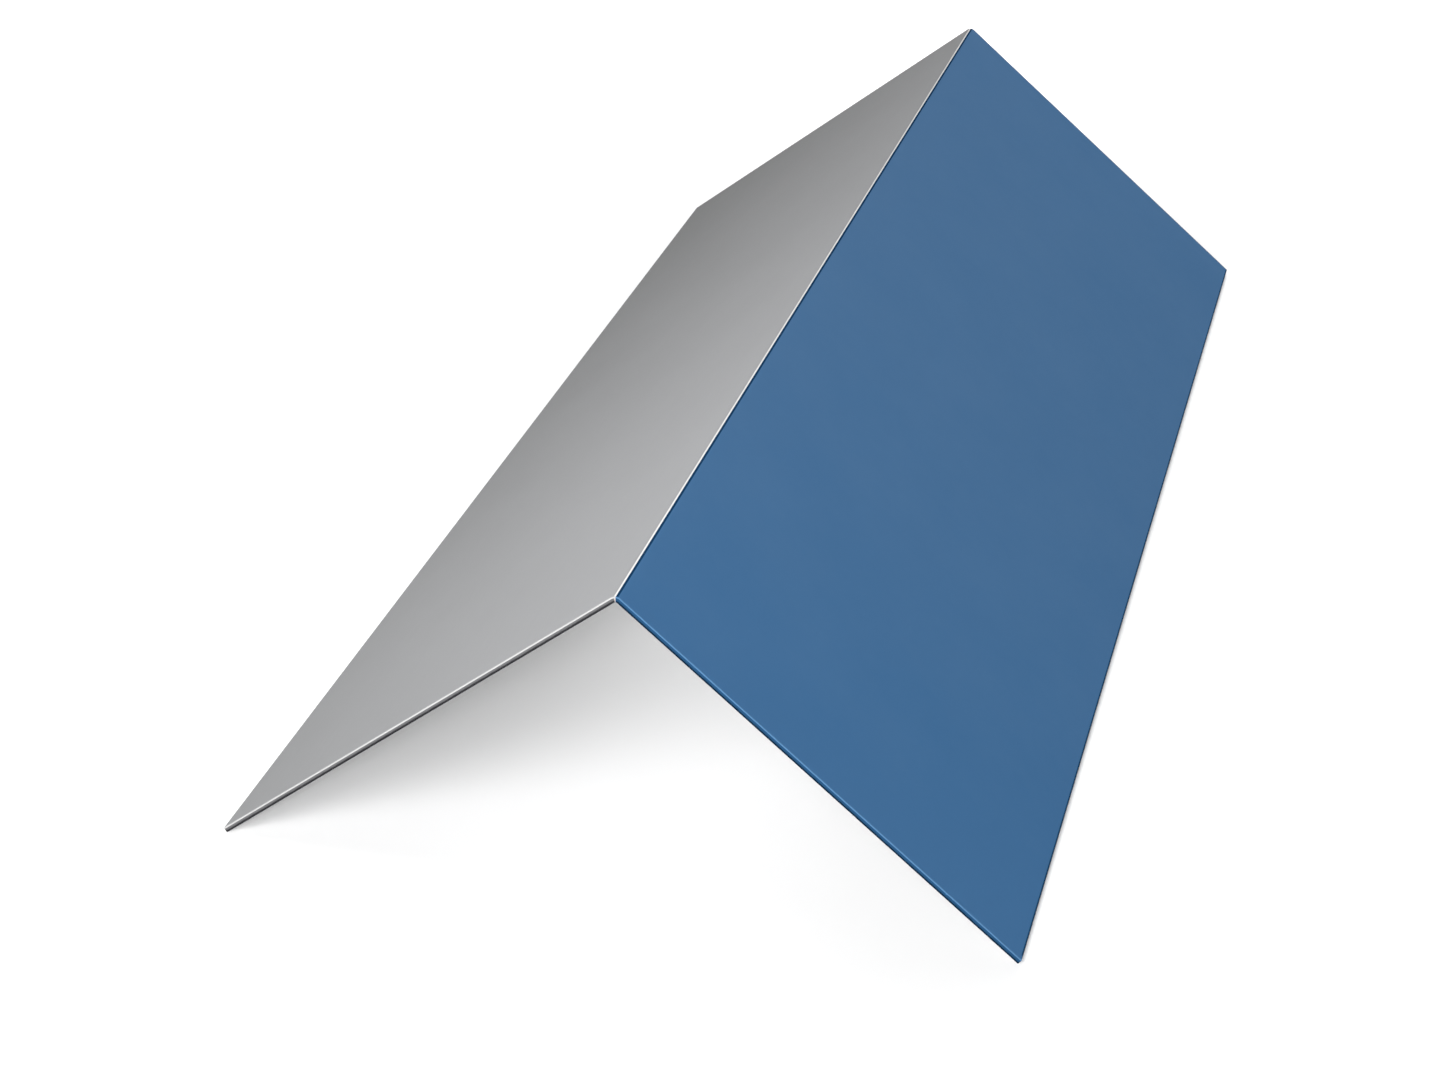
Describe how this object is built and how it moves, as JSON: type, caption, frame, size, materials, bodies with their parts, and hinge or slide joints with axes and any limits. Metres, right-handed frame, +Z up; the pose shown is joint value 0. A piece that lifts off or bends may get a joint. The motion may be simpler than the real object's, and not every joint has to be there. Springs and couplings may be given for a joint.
{
  "type": "ridge cap",
  "caption": "Straight length of sheet metal folded once along its middle into an inverted V, to cover the joint along a roof's ridge.",
  "frame": {"origin": "on the floor, under the ridge, at half the length", "axes": "+X across the cap towards the blue leg, +Y along the ridge, +Z up"},
  "size_m": [0.2174, 0.5, 0.0886],
  "materials": {
    "coated_sheet": "satin blue coat on the right leg's upper face and cut edges; the left leg and the whole underside are plain satin grey metal"
  },
  "bodies": {
    "root": {"ridge_cap": "coated_sheet"}
  },
  "joints": []
}
